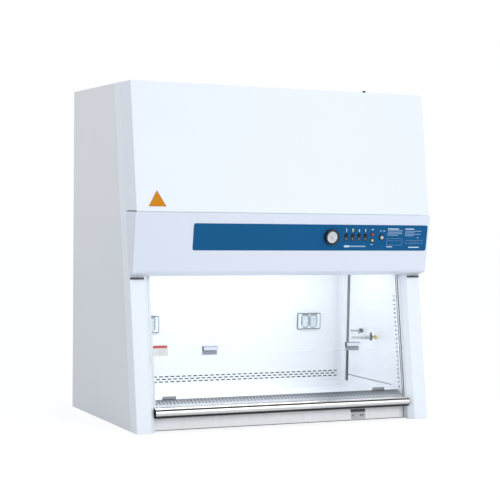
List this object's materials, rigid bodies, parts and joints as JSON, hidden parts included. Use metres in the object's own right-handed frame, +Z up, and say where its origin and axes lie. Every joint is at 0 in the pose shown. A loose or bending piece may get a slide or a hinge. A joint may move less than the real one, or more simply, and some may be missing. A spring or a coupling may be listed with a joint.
{
  "type": "biological safety cabinet",
  "caption": "Bench-top safety cabinet with a leaning front, sliding glass sash, hinged control fascia and slotted steel work chamber.",
  "frame": {"origin": "middle of the base, on the surface that the cabinet stands on", "axes": "+X to the user's right, +Y to the back, +Z up"},
  "size_m": [1.34, 0.824, 1.394],
  "materials": {
    "body_paint": "smooth light grey powder coat",
    "cover_paint": "smooth white powder coat",
    "fascia_paint": "smooth light grey powder coat",
    "post_paint": "smooth white powder coat",
    "liner_steel": "fine brushed stainless sheet",
    "sill_steel": "fine brushed stainless sheet",
    "nose_steel": "polished stainless sheet",
    "galvanised": "plain zinc-coated sheet",
    "label_blue": "satin printed sheet",
    "seal_dark": "matt rubber",
    "black_plastic": "fine-grained moulding",
    "gauge_shell": "satin dark casting",
    "gauge_glass": "clear polished lens",
    "needle_red": "thin painted pointer",
    "rocker_plastic": "moulded switch cap",
    "lamp_caps": "ribbed clear lens",
    "key_metal": "bright turned metal",
    "outlet_grey": "moulded frame",
    "flap_clear": "clear moulded flap",
    "tap_white": "coated casting",
    "tap_dark": "moulded lever",
    "sash_glass": "toughened glass with polished edges",
    "pull_grey": "satin coated pull",
    "filter_pack": "pleated paper pack in a plain frame",
    "cast_weight": "plain painted bar",
    "tube_glass": "milky lamp tube",
    "latch_dark": "moulded catch"
  },
  "bodies": {
    "cabinet": {"base_pan": "body_paint", "side_panel_left": "body_paint", "side_panel_right": "body_paint", "rear_panel": "body_paint", "top_panel": "body_paint", "exhaust_guard": "galvanised", "front_post_left": "post_paint", "front_post_right": "post_paint", "front_cover": "cover_paint", "power_gland": "black_plastic", "inner_wall_left": "liner_steel", "inner_wall_right": "liner_steel", "corner_seals": "seal_dark", "inner_back_wall": "liner_steel", "work_tray": "liner_steel", "sill_panel": "sill_steel", "airfoil_nose": "nose_steel", "front_grille": "sill_steel", "ceiling_diffuser": "galvanised", "supply_filter": "filter_pack", "exhaust_filter": "filter_pack", "plenum_box": "galvanised", "blower_housing": "galvanised", "lamp_tube": "tube_glass", "uv_tube": "tube_glass", "lamp_holders": "black_plastic", "guide_rails": "galvanised", "weight_guides": "galvanised", "latch_strips": "latch_dark", "outlets": "outlet_grey", "tap_front": "tap_white", "tap_rear": "tap_white"},
    "sash": {"sash_glass": "sash_glass", "sash_handles": "pull_grey", "sash_clamps": "galvanised"},
    "counterweights": {"counterweights": "cast_weight"},
    "pulley_left": {"pulley_left": "black_plastic"},
    "pulley_right": {"pulley_right": "black_plastic"},
    "fascia": {"control_fascia": "fascia_paint", "control_label": "label_blue", "gauge_case": "gauge_shell", "gauge_lens": "gauge_glass", "rocker_bodies": "black_plastic", "indicator_lamps": "lamp_caps", "key_ring": "key_metal"},
    "needle": {"gauge_needle": "needle_red"},
    "rocker_1": {"rocker_1": "rocker_plastic"},
    "rocker_2": {"rocker_2": "rocker_plastic"},
    "rocker_3": {"rocker_3": "rocker_plastic"},
    "rocker_4": {"rocker_4": "rocker_plastic"},
    "key": {"key_core": "key_metal"},
    "latch_left": {"latch_knob_left": "latch_dark"},
    "latch_right": {"latch_knob_right": "latch_dark"},
    "flap_left_a": {"flap_left_a": "flap_clear"},
    "flap_left_b": {"flap_left_b": "flap_clear"},
    "flap_right_a": {"flap_right_a": "flap_clear"},
    "flap_right_b": {"flap_right_b": "flap_clear"},
    "front_tap_lever": {"tap_front_handle": "tap_dark"},
    "rear_tap_wheel": {"tap_rear_handle": "tap_dark"},
    "fan": {"impeller": "galvanised"}
  },
  "joints": [
    {"name": "sash_slide", "type": "slide", "parent": "cabinet", "child": "sash", "axis": [0, 0.1656, 0.9862], "range_m": [-0.202, 0.25]},
    {"name": "counterweight_slide", "type": "slide", "parent": "cabinet", "child": "counterweights", "axis": [0, 0, 1], "range_m": [-0.25, 0.202]},
    {"name": "pulley_left_spin", "type": "hinge", "parent": "cabinet", "child": "pulley_left", "pos_m": [-0.6083, -0.16463, 1.318], "axis": [0, 1, 0], "range_deg": [-420, 345]},
    {"name": "pulley_right_spin", "type": "hinge", "parent": "cabinet", "child": "pulley_right", "pos_m": [0.6083, -0.16463, 1.318], "axis": [0, 1, 0], "range_deg": [-345, 420]},
    {"name": "fascia_hinge", "type": "hinge", "parent": "cabinet", "child": "fascia", "pos_m": [0, -0.37877, 0.8755], "axis": [-1, 0, 0], "range_deg": [0, 75]},
    {"name": "gauge_pointer", "type": "hinge", "parent": "fascia", "child": "needle", "pos_m": [0.198, -0.38216, 0.77394], "axis": [0, -0.9919, -0.1271], "range_deg": [-100, 0]},
    {"name": "rocker_1_tilt", "type": "hinge", "parent": "fascia", "child": "rocker_1", "pos_m": [0.269, -0.36863, 0.77849], "axis": [1, 0, 0], "range_deg": [-16, 0]},
    {"name": "rocker_2_tilt", "type": "hinge", "parent": "fascia", "child": "rocker_2", "pos_m": [0.2993, -0.36863, 0.77849], "axis": [1, 0, 0], "range_deg": [-16, 0]},
    {"name": "rocker_3_tilt", "type": "hinge", "parent": "fascia", "child": "rocker_3", "pos_m": [0.3296, -0.36863, 0.77849], "axis": [1, 0, 0], "range_deg": [-16, 0]},
    {"name": "rocker_4_tilt", "type": "hinge", "parent": "fascia", "child": "rocker_4", "pos_m": [0.3599, -0.36863, 0.77849], "axis": [1, 0, 0], "range_deg": [-16, 0]},
    {"name": "key_turn", "type": "hinge", "parent": "fascia", "child": "key", "pos_m": [0.439, -0.37359, 0.77786], "axis": [0, -0.9919, -0.1271], "range_deg": [-90, 0]},
    {"name": "latch_left_turn", "type": "hinge", "parent": "cabinet", "child": "latch_left", "pos_m": [-0.636, -0.31484, 0.6085], "axis": [0, -0.9862, 0.1656], "range_deg": [0, 90]},
    {"name": "latch_right_turn", "type": "hinge", "parent": "cabinet", "child": "latch_right", "pos_m": [0.636, -0.31484, 0.6085], "axis": [0, -0.9862, 0.1656], "range_deg": [-90, 0]},
    {"name": "flap_left_a_hinge", "type": "hinge", "parent": "cabinet", "child": "flap_left_a", "pos_m": [-0.421, 0.1943, 0.407], "axis": [-1, 0, 0], "range_deg": [0, 110]},
    {"name": "flap_left_b_hinge", "type": "hinge", "parent": "cabinet", "child": "flap_left_b", "pos_m": [-0.379, 0.1943, 0.407], "axis": [-1, 0, 0], "range_deg": [0, 110]},
    {"name": "flap_right_a_hinge", "type": "hinge", "parent": "cabinet", "child": "flap_right_a", "pos_m": [0.379, 0.1943, 0.407], "axis": [-1, 0, 0], "range_deg": [0, 110]},
    {"name": "flap_right_b_hinge", "type": "hinge", "parent": "cabinet", "child": "flap_right_b", "pos_m": [0.421, 0.1943, 0.407], "axis": [-1, 0, 0], "range_deg": [0, 110]},
    {"name": "front_tap_turn", "type": "hinge", "parent": "cabinet", "child": "front_tap_lever", "pos_m": [0.554, -0.106, 0.327], "axis": [1, 0, 0], "range_deg": [0, 90]},
    {"name": "rear_tap_turn", "type": "hinge", "parent": "cabinet", "child": "rear_tap_wheel", "pos_m": [0.569, 0.013, 0.346], "axis": [1, 0, 0], "range_deg": [-540, 0]},
    {"name": "fan_spin", "type": "hinge", "parent": "cabinet", "child": "fan", "pos_m": [0, 0.115, 1.01], "axis": [0, 1, 0], "continuous": true}
  ],
  "couplings": [
    {"joint": "counterweight_slide", "follows": "sash_slide", "ratio": -1},
    {"joint": "pulley_left_spin", "follows": "sash_slide", "rad_per_m": -28.985},
    {"joint": "pulley_right_spin", "follows": "sash_slide", "rad_per_m": 28.985}
  ]
}
